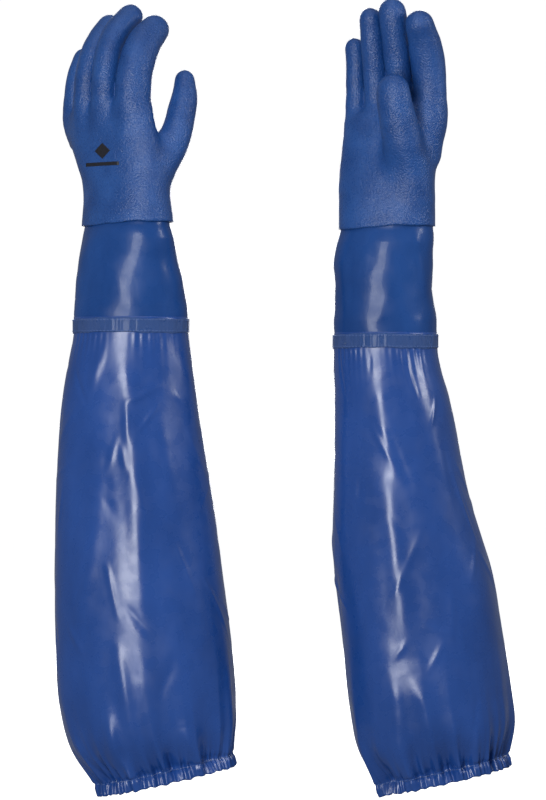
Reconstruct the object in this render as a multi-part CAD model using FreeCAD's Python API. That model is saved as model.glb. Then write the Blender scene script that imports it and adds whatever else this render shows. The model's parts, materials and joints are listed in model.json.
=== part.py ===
"""A pair of arm-length PVC gauntlet gloves with elasticated sleeves, as separate solids in millimetres.

Each glove is built in its own frame: the origin is the centre of its arm opening, +Z runs up the arm to the
fingertips, +X is across the arm and +Y is away from the front. The left glove shows the back of its hand to
the front and the right glove shows its palm. From the inside out, a hand is a knitted liner in a rough PVC
coat. A smooth PVC cuff is tucked into the coat's mouth. The sleeve of thin PVC film laps over the cuff under
a taped and stitched band, and its far end is turned up around an elastic.
"""

import FreeCAD
import Part

import math
import os

Vector = FreeCAD.Vector

# Driving dimensions
PAIR_SPACING = 242.0  # between the centres of the two arm openings
COAT = 1.05  # the rough PVC coat of the hand
LINER = 0.8  # the knitted liner
CUFF_WALL = 1.1  # the smooth PVC of the cuff
FILM = 0.6  # the sleeve's film, with its cotton backing
TAPE = 0.8  # the band over the sleeve seam
LAP_GAP = 0.1  # clearance between the layers at the band and the hem
FIT_GAP = 0.3  # clearance between a coat and its liner
KNUCKLE_GAP = 0.4  # between a fingertip stall and the finger root that it bends from

BAND_HEIGHT = 12.5
HEM_HEIGHT = 12.0  # height of the turned-up hem
HEM_TILT = 12.8  # the hem's plane rises towards +X
ELASTIC_THICK = 1.2
ELASTIC_HEIGHT = 8.0
THREAD = 0.5
MARK_THICK = 0.2  # the printed mark on the back of the hand

RING_POINTS = 20
DOME_ANGLES = (0, 15, 30, 45, 60, 72, 82, 87)  # rings that close a fingertip

# A section is (x, y, z, half width, half depth, roll, tilt). Roll turns it about the arm, and tilt lifts its
# +X side. A finger is given by its place s across the hand and its stations (z, c, half width), where c is
# measured towards the back of the hand's section. "bends" is the station where its tip half is hinged.
LEFT = {
    "side": "left",
    "palm_side": 1,
    "hand_roll": 40.0,
    "hand_centre": (-53.0, 5.0),
    "palm": [
        (-35.5, 0.0, 486.0, 45.0, 31.5, 40, 0),
        (-36.0, 0.5, 508.0, 43.0, 28.0, 40, 0),
        (-38.5, 1.5, 530.0, 45.0, 24.0, 40, 0),
        (-44.5, 3.0, 552.0, 48.0, 21.0, 40, 0),
        (-51.0, 5.0, 574.0, 49.0, 18.0, 40, 0),
        (-53.0, 5.0, 591.0, 46.0, 14.0, 40, 0),
    ],
    "cuff": [
        (-35.8, 0.2, 496.0, 41.4, 26.8, 40, 0),
        (-35.5, 0.0, 484.0, 43.0, 29.4, 40, 0),
        (-34.6, 0.0, 456.0, 45.0, 33.0, 25, 0),
        (-33.2, 0.0, 424.0, 47.8, 35.0, 8, 0),
        (-32.5, 0.0, 408.0, 49.5, 36.0, 0, 0),
        (-32.5, 0.0, 390.0, 49.5, 36.0, 0, 0),
    ],
    "band_top": 404.5,
    "sleeve": [
        (-32.5, 0.0, 406.0, 49.5, 36.0, 0, 0),
        (-32.5, 0.0, 390.0, 49.5, 36.0, 0, 0),
        (-32.8, 0.0, 372.0, 52.5, 38.0, 0, 0),
        (-33.0, 0.0, 333.0, 58.3, 43.0, 0, 0),
        (-30.3, 0.0, 263.0, 66.2, 48.0, 0, 0),
        (-26.3, 0.0, 193.0, 72.0, 50.5, 0, 0),
        (-21.5, 0.0, 123.0, 76.0, 51.0, 0, 2),
        (-17.0, 0.0, 70.0, 76.0, 50.0, 0, 6),
        (-11.0, 0.0, 37.0, 71.5, 46.0, 0, 10),
    ],
    "hem": (61.5, 37.0),
    "fingers": {
        "index": {"s": 29.6, "depth": 1.15, "bends": 2, "stations": [
            (558, 2.0, 10.5), (596, 0.0, 14.7), (621, 3.0, 14.7), (644, 13.5, 14.2), (660, 30.0, 12.0)]},
        "middle": {"s": 3.0, "depth": 1.0, "bends": 2, "stations": [
            (552, 2.0, 8.0), (596, -8.0, 11.2), (619, -6.5, 11.2), (641, -0.5, 11.2), (657, 9.5, 11.2),
            (672, 27.0, 11.3)]},
        "ring": {"s": -20.0, "depth": 1.0, "bends": 2, "stations": [
            (552, 1.0, 8.0), (596, -6.5, 11.0), (617, -4.5, 11.0), (638, 2.5, 11.0), (653, 13.0, 10.8),
            (664, 24.0, 10.4)]},
        "little": {"s": -41.8, "depth": 1.0, "bends": 2, "stations": [
            (560, 3.0, 4.5), (584, 2.5, 9.8), (602, 3.5, 9.6), (620, 7.5, 9.4), (636, 15.5, 9.2)]},
    },
    "thumb": {"depth": 0.95, "bends": 3, "stations": [
        (-22.0, -9.0, 516.0, 15.0), (-3.5, -6.5, 543.0, 15.5), (7.5, -3.5, 566.0, 14.2),
        (12.5, 1.0, 588.0, 12.7), (14.5, 3.5, 603.0, 11.2), (14.7, 5.0, 614.0, 9.2)]},
    "mark": (-57.0, 551.0),
}

RIGHT = {
    "side": "right",
    "palm_side": -1,
    "hand_roll": 25.0,
    "hand_centre": (-44.0, 3.0),
    "palm": [
        (-50.0, 0.0, 483.0, 43.0, 30.0, 18, 0),
        (-50.0, 0.5, 508.0, 43.5, 27.5, 22, 0),
        (-49.5, 1.0, 530.0, 44.0, 24.5, 25, 0),
        (-46.5, 2.0, 552.0, 45.5, 21.5, 25, 0),
        (-43.0, 3.0, 574.0, 46.5, 18.5, 25, 0),
        (-42.5, 3.0, 589.0, 44.5, 14.0, 25, 0),
    ],
    "cuff": [
        (-50.0, 0.2, 493.0, 41.0, 26.6, 20, 0),
        (-50.2, 0.0, 481.0, 41.2, 28.3, 18, 0),
        (-52.6, 0.0, 456.0, 42.3, 31.5, 10, 0),
        (-52.2, 0.0, 421.0, 42.5, 33.0, 4, 0),
        (-51.3, 0.0, 395.0, 44.7, 34.5, 0, 0),
        (-51.3, 0.0, 374.0, 44.7, 34.5, 0, 0),
    ],
    "band_top": 391.0,
    "sleeve": [
        (-51.3, 0.0, 392.5, 44.7, 34.5, 0, 0),
        (-51.3, 0.0, 376.0, 44.7, 34.5, 0, 0),
        (-50.0, 0.0, 362.0, 46.5, 37.0, 0, 0),
        (-46.0, 0.0, 333.0, 50.0, 41.0, 0, 0),
        (-38.0, 0.0, 263.0, 57.5, 47.0, 0, 0),
        (-29.0, 0.0, 193.0, 67.0, 50.0, 0, 0),
        (-19.0, 0.0, 123.0, 70.0, 50.5, 0, 3),
        (-13.0, 0.0, 70.0, 71.0, 49.5, 0, 7),
        (-8.0, 0.0, 37.0, 69.0, 46.0, 0, 10),
    ],
    "hem": (59.5, 37.0),
    "fingers": {
        "index": {"s": 33.0, "depth": 0.95, "bends": 2, "stations": [
            (548, 1.0, 10.0), (592, 3.8, 14.3), (616, 1.5, 14.4), (638, -6.0, 14.4), (653, -14.5, 13.4),
            (659.5, -19.5, 12.6)]},
        "middle": {"s": 6.5, "depth": 1.0, "bends": 2, "stations": [
            (548, 0.0, 8.0), (600, 0.0, 11.3), (626, -5.0, 11.3), (649, -11.5, 11.7), (672, -18.5, 11.6)]},
        "ring": {"s": -16.5, "depth": 1.0, "bends": 2, "stations": [
            (548, 1.0, 8.0), (600, 0.0, 10.5), (628, -3.5, 10.3), (649, -9.0, 10.2), (667, -13.5, 9.8)]},
        "little": {"s": -37.0, "depth": 1.0, "bends": 2, "stations": [
            (544, 2.0, 6.5), (594, 3.5, 9.3), (614, 3.0, 9.1), (631, 2.0, 8.8), (644, -1.5, 8.3)]},
    },
    "thumb": {"depth": 0.84, "bends": 3, "stations": [
        (-29.0, -14.0, 514.0, 16.0), (-33.0, -24.0, 542.0, 17.5), (-38.5, -31.5, 562.0, 17.3),
        (-42.0, -36.5, 579.0, 16.3), (-44.0, -39.0, 590.0, 15.4), (-45.5, -40.5, 601.5, 14.4)]},
    "mark": (-46.0, 550.0),
}


def frame_of(roll, tilt):
    """The section's axis, and its directions across and in depth."""
    r, t = math.radians(roll), math.radians(tilt)
    across = Vector(math.cos(r) * math.cos(t), -math.sin(r), math.cos(r) * math.sin(t))
    axis = Vector(-math.sin(t), 0, math.cos(t))
    across = (across - axis * across.dot(axis)).normalize()
    return axis, across, axis.cross(across)


def ring(centre, across, depth, half_width, half_depth):
    """A closed oval wire with one smooth edge."""
    points = []
    for n in range(RING_POINTS):
        a = 2 * math.pi * n / RING_POINTS
        points.append(centre + across * (half_width * math.cos(a)) + depth * (half_depth * math.sin(a)))
    curve = Part.BSplineCurve()
    curve.interpolate(Points=points, PeriodicFlag=True)
    return Part.Wire([curve.toShape()])


def section(row, grow=0.0, along=0.0):
    """The wire of one section row, grown outwards all round and shifted along its own axis."""
    x, y, z, half_width, half_depth, roll, tilt = row
    axis, across, depth = frame_of(roll, tilt)
    return ring(Vector(x, y, z) + axis * along, across, depth, half_width + grow, half_depth + grow)


def loft(wires):
    return Part.makeLoft(wires, True, False)


def walls(outer, inner, *stretches):
    """Tubes between two offsets, open at both ends. Each stretch is a stack of sections with its own loft."""
    tubes = []
    for rows in stretches:
        tubes.append(loft([section(r, outer) for r in rows]).cut(loft([section(r, inner) for r in rows])))
    return tubes


def shell(outer, inner, *stretches):
    """One tube made of its stretches."""
    tubes = walls(outer, inner, *stretches)
    return tubes[0].multiFuse(tubes[1:]) if len(tubes) > 1 else tubes[0]


def hem_rows(glove, low, high):
    """Two sections of the straight, tilted hem, from low to high along its axis."""
    half_width, half_depth = glove["hem"]
    axis = frame_of(0, HEM_TILT)[0]
    rows = []
    for h in (high, low):
        p = axis * h
        rows.append((p.x, p.y, p.z, half_width, half_depth, 0, HEM_TILT))
    return rows


def finger_stations(glove, name):
    """A finger's stations as (centre, half width), in the glove's frame."""
    if name == "thumb":
        return [(Vector(x, y, z), r) for x, y, z, r in glove["thumb"]["stations"]]
    finger = glove["fingers"][name]
    x0, y0 = glove["hand_centre"]
    _, across, depth = frame_of(glove["hand_roll"], 0)
    origin = Vector(x0, y0, 0)
    return [(origin + across * finger["s"] + depth * c + Vector(0, 0, z), r) for z, c, r in finger["stations"]]


def finger_facts(glove, name):
    return glove["thumb"] if name == "thumb" else glove["fingers"][name]


def finger_frames(glove, name):
    """For each station: its centre, direction, across and depth directions, and half sizes."""
    stations = finger_stations(glove, name)
    ratio = finger_facts(glove, name)["depth"]
    lateral = frame_of(glove["hand_roll"], 0)[1]
    frames = []
    for n, (centre, r) in enumerate(stations):
        before, after = stations[max(n - 1, 0)][0], stations[min(n + 1, len(stations) - 1)][0]
        axis = (after - before).normalize()
        across = (lateral - axis * lateral.dot(axis)).normalize()
        frames.append((centre, axis, across, axis.cross(across), r, r * ratio))
    return frames


def frame_ring(frame, grow, along=0.0):
    centre, axis, across, depth, half_width, half_depth = frame
    return ring(centre + axis * along, across, depth, half_width + grow, half_depth + grow)


def finger_root(glove, name, grow, beyond=0.0):
    """The solid from inside the palm up to the bending station, and a little beyond it for a cutter."""
    frames = finger_frames(glove, name)[: finger_facts(glove, name)["bends"] + 1]
    wires = [frame_ring(f, grow) for f in frames]
    root = loft(wires)
    if beyond:
        root = root.fuse(loft([frame_ring(frames[-1], grow), frame_ring(frames[-1], grow, beyond)]))
    return root


def finger_tip(glove, name, grow, start):
    """The solid from the bending station to the rounded fingertip. start shifts its open end along the axis."""
    frames = finger_frames(glove, name)[finger_facts(glove, name)["bends"]:]
    wires = [frame_ring(frames[0], grow, start)] + [frame_ring(f, grow) for f in frames[1:]]
    centre, axis, across, depth, half_width, half_depth = frames[-1]
    dome = []
    for degrees in DOME_ANGLES:
        a = math.radians(degrees)
        wide, deep = (half_width + grow) * math.cos(a), (half_depth + grow) * math.cos(a)
        dome.append(ring(centre + axis * ((half_width + grow) * math.sin(a)), across, depth, wide, deep))
    return loft(wires).fuse(loft(dome))


FINGERS = ("thumb", "index", "middle", "ring", "little")


def hand_body(glove, grow, cutter=False):
    """The palm and the five finger roots as one solid. A cutter runs past the open ends."""
    rows = [list(r) for r in glove["palm"]]
    rows[-1][2] += grow  # the roof's own thickness
    wires = [section(r, grow) for r in rows]
    body = loft(wires)
    roots = [finger_root(glove, f, grow, beyond=2.0 if cutter else 0.0) for f in FINGERS]
    if cutter:
        roots.append(loft([section(rows[0], grow), section(rows[0], grow, along=-2.0)]))
    return body.multiFuse(roots)


def below(z):
    """A block that holds everything below z."""
    return Part.makeBox(400, 400, 1000, Vector(-200, -200, z - 1000))


def palm_coat(glove):
    return hand_body(glove, 0.0).cut(hand_body(glove, -COAT, cutter=True))


def liner_offsets():
    outer = -(COAT + FIT_GAP)
    return outer, outer - LINER


def palm_liner(glove):
    outer, inner = liner_offsets()
    knitted = hand_body(glove, outer).cut(hand_body(glove, inner, cutter=True))
    cuff_top = glove["cuff"][0][2]
    return knitted.cut(below(cuff_top + 1.0))


def stall_coat(glove, name):
    return finger_tip(glove, name, 0.0, KNUCKLE_GAP).cut(finger_tip(glove, name, -COAT, -1.0))


def stall_liner(glove, name):
    outer, inner = liner_offsets()
    return finger_tip(glove, name, outer, KNUCKLE_GAP).cut(finger_tip(glove, name, inner, -1.0))


def cuff(glove):
    rows = glove["cuff"]
    return shell(0.0, -CUFF_WALL, rows[:-1], rows[-2:])


def cuff_liner(glove):
    outer = -(CUFF_WALL + FIT_GAP)
    rows = glove["cuff"]
    return shell(outer, outer - LINER, rows[:-1], rows[-2:])


def band_rows(glove, low, high):
    """Two sections of the straight stretch under the band. Heights are measured down from its top."""
    x, y, _, half_width, half_depth, roll, tilt = glove["sleeve"][0]
    top = glove["band_top"]
    return [(x, y, top - high, half_width, half_depth, roll, tilt),
            (x, y, top - low, half_width, half_depth, roll, tilt)]


def sleeve(glove):
    """The film tube and its turned-up hem, which is open at its upper edge, as one piece."""
    outer, inner = LAP_GAP + FILM, LAP_GAP
    rows = glove["sleeve"]
    hem = hem_rows(glove, 0.0, HEM_HEIGHT)
    pieces = walls(outer, inner, rows[:2], rows[1:] + hem[:1], hem)
    turned_in = -(ELASTIC_THICK + 3 * LAP_GAP)
    pieces += walls(outer, turned_in - FILM, hem_rows(glove, -FILM, 0.0))
    pieces += walls(turned_in, turned_in - FILM, hem)
    return pieces[0].multiFuse(pieces[1:])


def elastic(glove):
    outer = -LAP_GAP
    return shell(outer, outer - ELASTIC_THICK, hem_rows(glove, 0.5, 0.5 + ELASTIC_HEIGHT))


def seam_band(glove):
    inner = LAP_GAP + FILM + LAP_GAP
    return shell(inner + TAPE, inner, band_rows(glove, BAND_HEIGHT, 0.0))


def band_thread(glove, height):
    """One row of stitching around the band, as a ring that lies on the tape."""
    inner = LAP_GAP + FILM + LAP_GAP + TAPE + 0.05
    return shell(inner + THREAD, inner, band_rows(glove, height + THREAD, height))


def hem_thread(glove):
    inner = LAP_GAP + FILM + 0.05
    height = HEM_HEIGHT - 2.0
    return shell(inner + THREAD, inner, hem_rows(glove, height, height + THREAD))


def print_mark(glove):
    """A plain printed lozenge over a bar, as a thin film on the back of the hand."""
    x, z = glove["mark"]
    back = -glove["palm_side"]
    reach, half, bar_half, bar_thick = 60.0, 8.0, 15.0, 3.5
    y = 0.0 if back > 0 else -reach
    points = [Vector(x - half, y, z), Vector(x, y, z - half), Vector(x + half, y, z), Vector(x, y, z + half)]
    lozenge = Part.Face(Part.makePolygon(points + points[:1])).extrude(Vector(0, reach, 0))
    bar = Part.makeBox(2 * bar_half, reach, bar_thick, Vector(x - bar_half, y, z - half - bar_thick + 1))
    film = hand_body(glove, 0.05 + MARK_THICK).cut(hand_body(glove, 0.05))
    return film.common(lozenge.fuse(bar))


def glove_parts(glove):
    side = glove["side"]
    parts = {
        f"{side}_palm_coat": palm_coat(glove),
        f"{side}_palm_liner": palm_liner(glove),
        f"{side}_cuff": cuff(glove),
        f"{side}_cuff_liner": cuff_liner(glove),
        f"{side}_sleeve": sleeve(glove),
        f"{side}_hem_elastic": elastic(glove),
        f"{side}_hem_thread": hem_thread(glove),
        f"{side}_seam_band": seam_band(glove),
        f"{side}_band_thread_upper": band_thread(glove, 1.2),
        f"{side}_band_thread_lower": band_thread(glove, BAND_HEIGHT - 1.2 - THREAD),
        f"{side}_print_mark": print_mark(glove),
    }
    for name in FINGERS:
        parts[f"{side}_{name}_coat"] = stall_coat(glove, name)
        parts[f"{side}_{name}_liner"] = stall_liner(glove, name)
    return parts


def print_hinges(glove, shift):
    """Each fingertip bends about the crease on the palm side of its bending station."""
    for name in FINGERS:
        frame = finger_frames(glove, name)[finger_facts(glove, name)["bends"]]
        centre, _, across, depth, _, half_depth = frame
        crease = centre + depth * (glove["palm_side"] * half_depth) + shift
        axis = across * -glove["palm_side"]
        print("hinge", glove["side"], name, *[round(v / 1000, 6) for v in crease], *[round(v, 9) for v in axis])


def main():
    os.makedirs("parts", exist_ok=True)
    for glove, x in ((LEFT, 0.0), (RIGHT, PAIR_SPACING)):
        shift = Vector(x, 0, 0)
        for name, shape in glove_parts(glove).items():
            shape.translate(shift)
            solids = shape.Solids
            print(name, len(solids), round(sum(s.Volume for s in solids)), all(s.isValid() for s in solids))
            out = solids[0] if len(solids) == 1 else Part.makeCompound(solids)
            out.exportStep(f"parts/{name}.step")
        print_hinges(glove, shift)


main()
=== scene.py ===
"""The looks of a pair of arm-length PVC gauntlet gloves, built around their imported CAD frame.

Lengths in the tables are in millimetres in each glove's own frame, whose origin is the centre of its arm
opening, and are scaled to metres as they are used. +Z runs up the arm and the front faces -Y.
"""

import json
import math

import bpy
import numpy as np
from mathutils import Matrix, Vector
from mathutils.bvhtree import BVHTree


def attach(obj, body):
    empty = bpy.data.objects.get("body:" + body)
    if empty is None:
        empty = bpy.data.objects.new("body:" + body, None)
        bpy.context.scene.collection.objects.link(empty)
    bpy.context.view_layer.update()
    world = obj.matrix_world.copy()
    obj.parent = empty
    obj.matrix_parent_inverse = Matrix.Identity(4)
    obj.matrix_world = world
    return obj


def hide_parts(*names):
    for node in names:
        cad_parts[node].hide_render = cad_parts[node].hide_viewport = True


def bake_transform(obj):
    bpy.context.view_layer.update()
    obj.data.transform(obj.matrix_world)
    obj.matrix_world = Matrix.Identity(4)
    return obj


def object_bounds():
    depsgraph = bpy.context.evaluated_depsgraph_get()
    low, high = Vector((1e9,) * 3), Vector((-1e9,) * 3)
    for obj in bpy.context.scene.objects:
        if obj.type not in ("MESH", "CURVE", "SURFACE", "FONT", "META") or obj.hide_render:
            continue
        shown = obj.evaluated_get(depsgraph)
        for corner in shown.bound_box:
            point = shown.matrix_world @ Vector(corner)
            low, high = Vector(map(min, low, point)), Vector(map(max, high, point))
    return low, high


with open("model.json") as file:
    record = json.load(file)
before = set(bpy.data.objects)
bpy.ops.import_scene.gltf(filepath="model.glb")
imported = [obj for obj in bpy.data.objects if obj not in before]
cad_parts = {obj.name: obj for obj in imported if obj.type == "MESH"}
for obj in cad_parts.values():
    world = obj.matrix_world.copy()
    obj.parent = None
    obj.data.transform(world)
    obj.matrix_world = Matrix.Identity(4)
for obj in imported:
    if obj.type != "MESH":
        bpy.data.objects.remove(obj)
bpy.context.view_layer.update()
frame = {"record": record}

MM = 0.001
TAU = 2 * math.pi
COAT = 1.05
LINER_GAP = 0.3
LINER = 0.8
CUFF = 1.1
FILM = 0.55
HEM_TILT = 12.8
HEM_HEIGHT = 12.0
VOXEL = 1.25
LINER_RISE = 8  # grid steps from the coat's edge to the palm liner's, just above the cuff's top
SEAM_BELOW = 13.0  # a finger's piece starts this far below the knuckle that it bends at
STUB_BELOW = 5.0  # the hand's own piece ends this far below it, inside the finger's
TURN_BELOW = 6.0  # the lower end of a finger's blend span lies this far below it
SLEEVE_RADIUS = 60.0  # turns an angle round a sleeve into a length for its creases
CREASES = 60
HEM_PUCKERS = 9  # added to a glove's seed for its puckers
SLEEVE_COLUMNS = 330
BAND_COLUMNS = 300
CUFF_COLUMNS = 168
FINGER_COLUMNS = 60
# the hem's puckers: how many go round, their size, and the height over which they fade
PUCKERS = ((7, 3.0, 46.0), (13, 2.7, 34.0), (21, 2.2, 20.0), (38, 1.6, 10.0), (71, 1.2, 6.0))
# the hem from the upper edge of its turned-in side, round its fold and up its outside: heights and offsets
HEM_TURN_HEIGHTS = (11.0, 8.0, 5.5, 3.5, 2.0, 1.0, 0.3, -0.3, -0.55, -0.3, 0.3, 1.0, 2.0, 3.5, 5.0, 6.5,
                    8.0, 9.5, 11.0)
HEM_TURN_OFFSETS = (-1.95,) * 6 + (-1.8, -1.4, -0.6, 0.2, 0.6) + (0.7,) * 8
FINGERS = ("thumb", "index", "middle", "ring", "little")

# Sections are (x, y, z, half width, half depth, roll, tilt). Finger stations are (z, c, half width), at the
# place s across the hand, with c measured towards the back of the hand's section.
GLOVES = {
    "left": {
        "palm_side": 1,
        "hand_roll": 40.0,
        "hand_centre": (-53.0, 5.0),
        "palm": [
            (-35.5, 0.0, 470.0, 45.0, 32.5, 40, 0),
            (-35.5, 0.0, 486.0, 44.8, 31.0, 40, 0),
            (-36.0, 0.5, 508.0, 43.5, 28.0, 40, 0),
            (-38.5, 1.5, 530.0, 45.0, 24.0, 40, 0),
            (-44.5, 3.0, 552.0, 48.0, 21.0, 40, 0),
            (-51.0, 5.0, 574.0, 49.0, 18.0, 40, 0),
            (-53.0, 5.0, 594.0, 47.0, 14.0, 40, 0),
        ],
        "coat_edge": 488.0,
        "cuff": [
            (-35.8, 0.2, 496.0, 41.4, 26.8, 40, 0),
            (-35.5, 0.0, 484.0, 43.4, 29.6, 40, 0),
            (-34.6, 0.0, 456.0, 45.0, 33.0, 25, 0),
            (-33.2, 0.0, 424.0, 47.8, 35.0, 8, 0),
            (-32.5, 0.0, 408.0, 49.5, 36.0, 0, 0),
            (-32.5, 0.0, 390.0, 49.5, 36.0, 0, 0),
        ],
        "band_top": 404.5,
        "sleeve": [
            (-32.5, 0.0, 406.0, 49.5, 36.0, 0, 0),
            (-32.5, 0.0, 390.0, 49.7, 36.2, 0, 0),
            (-32.8, 0.0, 372.0, 52.5, 38.0, 0, 0),
            (-33.0, 0.0, 333.0, 58.3, 43.0, 0, 0),
            (-30.3, 0.0, 263.0, 66.2, 48.0, 0, 0),
            (-26.3, 0.0, 193.0, 72.0, 50.5, 0, 0),
            (-21.5, 0.0, 123.0, 76.0, 51.0, 0, 2),
            (-17.0, 0.0, 70.0, 76.0, 50.0, 0, 6),
            (-11.0, 0.0, 37.0, 71.5, 46.0, 0, 10),
        ],
        "hem": (61.5, 37.0),
        "fingers": {
            "index": {"s": 29.6, "depth": 1.1, "bends": 2, "stations": [
                (558, 2.0, 10.5), (596, 0.0, 14.7), (621, 3.0, 14.7), (644, 13.5, 14.2), (660, 30.0, 12.0)]},
            "middle": {"s": 3.0, "depth": 1.0, "bends": 2, "stations": [
                (552, 2.0, 8.0), (596, -8.0, 11.6), (619, -6.5, 11.6), (641, -0.5, 11.6), (657, 9.5, 11.4),
                (672, 27.0, 11.3)]},
            "ring": {"s": -20.0, "depth": 1.0, "bends": 2, "stations": [
                (552, 1.0, 8.0), (596, -6.5, 11.3), (617, -4.5, 11.3), (638, 2.5, 11.3), (653, 13.0, 10.8),
                (664, 24.0, 10.4)]},
            "little": {"s": -41.8, "depth": 1.0, "bends": 2, "stations": [
                (560, 3.0, 4.5), (584, 2.5, 10.2), (602, 3.5, 10.2), (620, 7.5, 10.0), (636, 15.5, 9.4)]},
        },
        "thumb": {"depth": 0.95, "bends": 3, "stations": [
            (-22.0, -9.0, 516.0, 15.0), (-3.5, -6.5, 543.0, 15.5), (7.5, -3.5, 566.0, 14.2),
            (12.5, 1.0, 588.0, 12.7), (14.5, 3.5, 603.0, 11.2), (14.7, 5.0, 614.0, 9.2)]},
        "mark": (-57.0, 551.0),
        "seed": 3,
        "film_cut": (0.405, 0.42),
        "folds": [
            (-36, 372, -18, 150, 9.0, 2.4),
            (-12, 330, 12, 230, 10.0, 1.6),
            (-60, 250, -78, 120, 9.0, 1.8),
            (-42, 120, -30, 36, 6.0, 1.8),
            (18, 210, 40, 90, 11.0, 1.8),
            (10, 385, 26, 320, 7.0, 1.2),
            (-51, 390, -67, 340, 4.0, 1.4),
            (-34, 331, -6, 346, 3.2, 1.3),
            (-35, 330, -34, 298, 3.2, 1.1),
            (-42, 34, -34, 6, 4.0, -2.5),
            (-50, 62, -45, 20, 6.0, 1.8),
            (-80, 34, -56, 0, 3.5, 2.2),
            (0, 26, 6, 10, 4.0, -2.2),
            (14, 50, 22, 24, 5.0, 1.6),
        ],
        "back_folds": [
            (-50, 360, -30, 160, 10.0, 2.2),
            (0, 330, 20, 120, 11.0, 2.0),
            (-60, 200, -40, 60, 9.0, 1.8),
            (30, 180, 44, 60, 9.0, 1.6),
        ],
        "cuff_folds": [(-25, 484, 3.5, 438, 7.0, 0.8)],
    },
    "right": {
        "palm_side": -1,
        "hand_roll": 25.0,
        "hand_centre": (-44.0, 3.0),
        "palm": [
            (-50.0, 0.0, 466.0, 43.0, 31.0, 18, 0),
            (-50.0, 0.0, 483.0, 42.8, 29.6, 18, 0),
            (-50.0, 0.5, 508.0, 43.5, 27.5, 22, 0),
            (-49.5, 1.0, 530.0, 44.0, 24.5, 25, 0),
            (-46.5, 2.0, 552.0, 45.5, 21.5, 25, 0),
            (-43.0, 3.0, 574.0, 46.5, 18.5, 25, 0),
            (-42.5, 3.0, 592.0, 44.5, 14.0, 25, 0),
        ],
        "coat_edge": 484.5,
        "cuff": [
            (-50.0, 0.2, 493.0, 41.0, 26.6, 20, 0),
            (-50.2, 0.0, 481.0, 41.6, 28.6, 18, 0),
            (-52.6, 0.0, 456.0, 42.3, 31.5, 10, 0),
            (-52.2, 0.0, 421.0, 42.5, 33.0, 4, 0),
            (-51.3, 0.0, 395.0, 44.7, 34.5, 0, 0),
            (-51.3, 0.0, 374.0, 44.7, 34.5, 0, 0),
        ],
        "band_top": 391.0,
        "sleeve": [
            (-51.3, 0.0, 392.5, 44.7, 34.5, 0, 0),
            (-51.3, 0.0, 376.0, 44.9, 34.7, 0, 0),
            (-50.0, 0.0, 362.0, 46.5, 37.0, 0, 0),
            (-46.0, 0.0, 333.0, 50.0, 41.0, 0, 0),
            (-38.0, 0.0, 263.0, 57.5, 47.0, 0, 0),
            (-29.0, 0.0, 193.0, 67.0, 50.0, 0, 0),
            (-19.0, 0.0, 123.0, 70.0, 50.5, 0, 3),
            (-13.0, 0.0, 70.0, 71.0, 49.5, 0, 7),
            (-8.0, 0.0, 37.0, 69.0, 46.0, 0, 10),
        ],
        "hem": (59.5, 37.0),
        "fingers": {
            "index": {"s": 33.0, "depth": 0.95, "bends": 2, "stations": [
                (548, 1.0, 10.0), (592, 3.8, 14.6), (616, 1.5, 14.9), (638, -6.0, 14.9), (653, -14.5, 13.4),
                (659.5, -19.5, 12.6)]},
            "middle": {"s": 6.5, "depth": 1.0, "bends": 2, "stations": [
                (548, 0.0, 8.0), (600, 0.0, 11.5), (626, -5.0, 11.5), (649, -11.5, 11.7),
                (672, -18.5, 11.6)]},
            "ring": {"s": -16.5, "depth": 1.0, "bends": 2, "stations": [
                (548, 1.0, 8.0), (600, 0.0, 10.9), (628, -3.5, 10.7), (649, -9.0, 10.4), (667, -13.5, 9.8)]},
            "little": {"s": -37.0, "depth": 1.0, "bends": 2, "stations": [
                (544, 2.0, 6.5), (594, 3.5, 9.7), (614, 3.0, 9.5), (631, 2.0, 9.1), (644, -1.5, 8.3)]},
        },
        "thumb": {"depth": 0.84, "bends": 3, "stations": [
            (-29.0, -14.0, 514.0, 16.0), (-33.0, -24.0, 542.0, 17.5), (-38.5, -31.5, 562.0, 17.3),
            (-42.0, -36.5, 579.0, 16.3), (-44.0, -39.0, 590.0, 15.4), (-45.5, -40.5, 601.5, 14.4)]},
        "mark": (-46.0, 550.0),
        "seed": 8,
        "film_cut": (0.385, 0.405),
        "folds": [
            (-60, 345, -44, 270, 8.0, 1.8),
            (-52, 262, -34, 120, 9.0, 2.2),
            (-20, 340, 8, 240, 10.0, 1.6),
            (-30, 96, -10, 40, 9.0, 2.2),
            (20, 200, 44, 90, 11.0, 1.8),
            (-44, 90, -36, 30, 6.0, 1.4),
            (-30, 36, -24, 8, 4.0, -2.4),
            (10, 44, 14, 14, 4.5, -2.0),
            (-62, 38, -54, 8, 4.0, 2.0),
        ],
        "back_folds": [
            (-60, 340, -40, 160, 10.0, 2.2),
            (-16, 320, 10, 120, 11.0, 2.0),
            (24, 180, 40, 60, 9.0, 1.6),
        ],
        "cuff_folds": [(-26, 480, -17, 420, 3.5, 1.0), (-90, 470, -86, 400, 4.0, 0.8)],
    },
}


# --- numbers ---------------------------------------------------------------------------------------------

def unit(v):
    return v / np.maximum(np.linalg.norm(v, axis=-1, keepdims=True), 1e-12)


def resample(rows, t):
    """A smooth curve through the rows, read at the parameters t from 0 to 1 of its length."""
    rows = np.asarray(rows, float)
    steps = np.linalg.norm(np.diff(rows[:, :3], axis=0), axis=1)
    s = np.concatenate([[0], np.cumsum(steps)]) / steps.sum()
    slopes = np.gradient(rows, s, axis=0)
    k = np.clip(np.searchsorted(s, t, side="right") - 1, 0, len(s) - 2)
    h = (s[k + 1] - s[k])[:, None]
    u = ((t - s[k]) / (s[k + 1] - s[k]))[:, None]
    return ((1 + 2 * u) * (1 - u) ** 2 * rows[k] + u * (1 - u) ** 2 * h * slopes[k]
            + u * u * (3 - 2 * u) * rows[k + 1] + u * u * (u - 1) * h * slopes[k + 1])


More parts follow.
